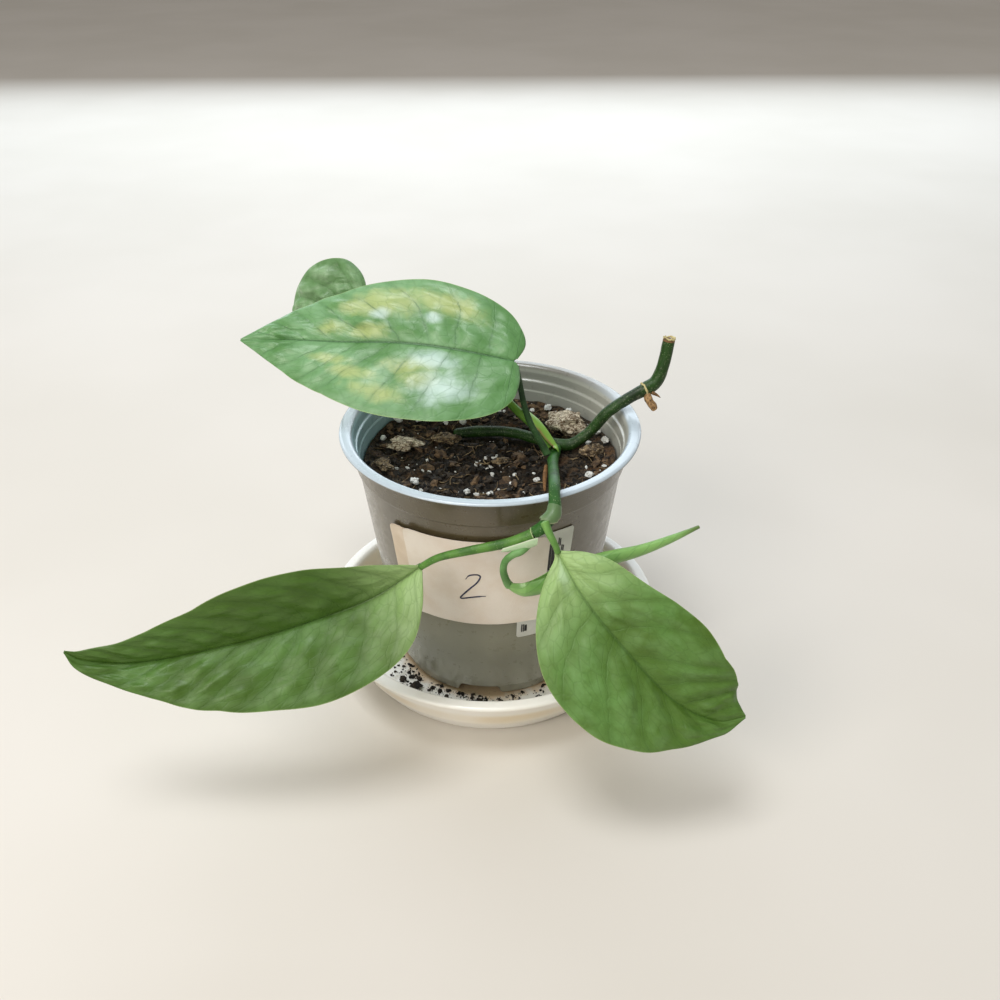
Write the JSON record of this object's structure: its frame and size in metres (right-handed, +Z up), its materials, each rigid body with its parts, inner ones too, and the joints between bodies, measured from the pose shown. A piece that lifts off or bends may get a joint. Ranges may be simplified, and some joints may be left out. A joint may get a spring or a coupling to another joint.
{
  "type": "potted aroid plant",
  "caption": "Young trailing aroid with long quilted blue-green leaves, grown from an old stem cutting in a tapering nursery pot that stands in a lipped round saucer.",
  "frame": {"origin": "centre of the saucer's flat underside, on the surface it stands on", "axes": "+Z up along the pot's axis, -Y towards the viewer of the side with the label, +X to the right of that view"},
  "size_m": [0.2168, 0.1675, 0.1479],
  "materials": {
    "saucer_plastic": "smooth white moulded plastic with a soft shine, water-stained inside",
    "pot_plastic": "taupe moulded plastic, satin, dusty",
    "paper": "uncoated warm white paper",
    "sticker_film": "grey-white coated paper",
    "potting_mix": "damp dark fibrous mix",
    "old_stem_green": "dark green satin skin",
    "shoot_green": "mid green satin skin, finely speckled",
    "stalk_green": "light green satin skin",
    "stalk_dark": "dark green satin skin",
    "leaf_green": "blue-green leaf with a silvery sheen between the side veins",
    "leaf_young": "fresh light green, soft shine",
    "dry_skin": "tan dried plant skin, matt",
    "pale_skin": "pale green translucent skin",
    "perlite_white": "rough white mineral grain",
    "bark_brown": "rough grey-brown bark",
    "crumb_dark": "matt dark crumb of mix"
  },
  "bodies": {
    "root": {"saucer": "saucer_plastic", "pot": "pot_plastic", "soil": "potting_mix", "sticker": "sticker_film", "paper_label_under": "paper", "paper_label": "paper", "old_stem": "old_stem_green", "old_stem_scar": "dry_skin", "dried_root": "dry_skin", "shoot_stem": "shoot_green", "aerial_root": "dry_skin", "stalk_back": "stalk_green", "stalk_top": "stalk_dark", "stalk_right": "stalk_green", "stalk_left": "shoot_green", "stalk_new": "stalk_green", "blade_left": "leaf_green", "blade_top": "leaf_green", "blade_right": "leaf_green", "blade_back": "leaf_green", "blade_new": "leaf_young", "sheath_back": "stalk_green", "sheath_left": "pale_skin", "sheath_right": "dry_skin", "perlite_01": "perlite_white", "perlite_02": "perlite_white", "perlite_03": "perlite_white", "perlite_04": "perlite_white", "perlite_05": "perlite_white", "perlite_06": "perlite_white", "perlite_07": "perlite_white", "perlite_08": "perlite_white", "perlite_09": "perlite_white", "perlite_10": "perlite_white", "perlite_11": "perlite_white", "perlite_12": "perlite_white", "perlite_13": "perlite_white", "perlite_14": "perlite_white", "bark_1": "bark_brown", "bark_2": "bark_brown", "bark_3": "bark_brown", "bark_4": "bark_brown", "bark_5": "bark_brown", "bark_6": "bark_brown", "crumb_1": "crumb_dark", "crumb_2": "crumb_dark", "crumb_3": "crumb_dark", "crumb_4": "crumb_dark"}
  },
  "joints": []
}
